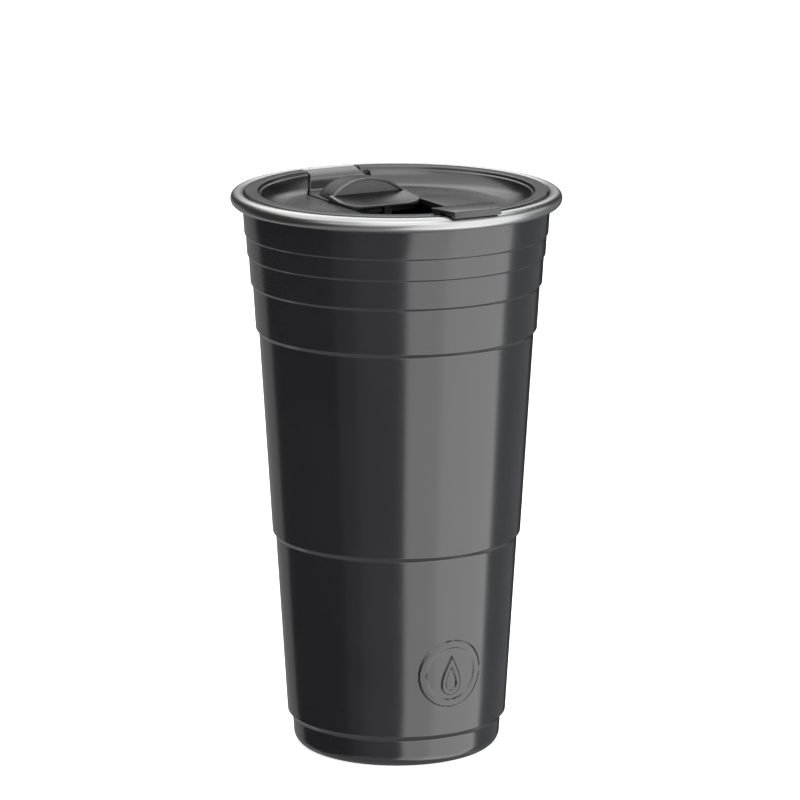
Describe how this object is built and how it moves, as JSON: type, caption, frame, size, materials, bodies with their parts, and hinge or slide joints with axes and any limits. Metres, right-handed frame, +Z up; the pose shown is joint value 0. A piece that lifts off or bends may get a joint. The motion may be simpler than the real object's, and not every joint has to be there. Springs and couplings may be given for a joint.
{
  "type": "insulated drinking tumbler with lid",
  "caption": "Tapered vacuum-insulated drinking tumbler with a stepped outer shell, a rolled bare-steel rim and a press-in lid whose spout is opened by a slider.",
  "frame": {"origin": "centre of the foot ring, on the surface that the tumbler stands on", "axes": "+Z up along the tumbler's axis; -Y towards the lid's lift tab and the embossed mark (the front); +Y towards the drinking spout; +X to the right seen from the front"},
  "size_m": [0.104, 0.1043, 0.1811],
  "materials": {
    "shell_coat": "satin-gloss charcoal powder coat with a fine orange-peel texture",
    "bare_steel": "bare stainless steel, finely brushed round the axis",
    "lid_plastic": "satin-gloss dark grey moulded plastic",
    "silicone": "matte black silicone",
    "solder_glass": "smooth grey solder glass",
    "getter": "matte pressed metal powder"
  },
  "bodies": {
    "cup": {"outer_shell": "shell_coat", "inner_liner": "bare_steel", "liner_bottom": "bare_steel", "outer_base": "bare_steel", "vacuum_seal": "solder_glass", "base_cover": "bare_steel", "getter_holder": "bare_steel", "getter_pellet": "getter"},
    "lid": {"lid_body": "lid_plastic", "spout_tray": "lid_plastic", "lid_gasket": "silicone"},
    "slider": {"slider": "lid_plastic", "slider_carrier": "lid_plastic", "slider_seal": "silicone"}
  },
  "joints": [
    {"name": "lid_lift", "type": "slide", "parent": "cup", "child": "lid", "axis": [0, 0, 1], "range_m": [0, 0.04]},
    {"name": "slider_slide", "type": "slide", "parent": "lid", "child": "slider", "axis": [0, -1, 0], "range_m": [0, 0.024]}
  ]
}
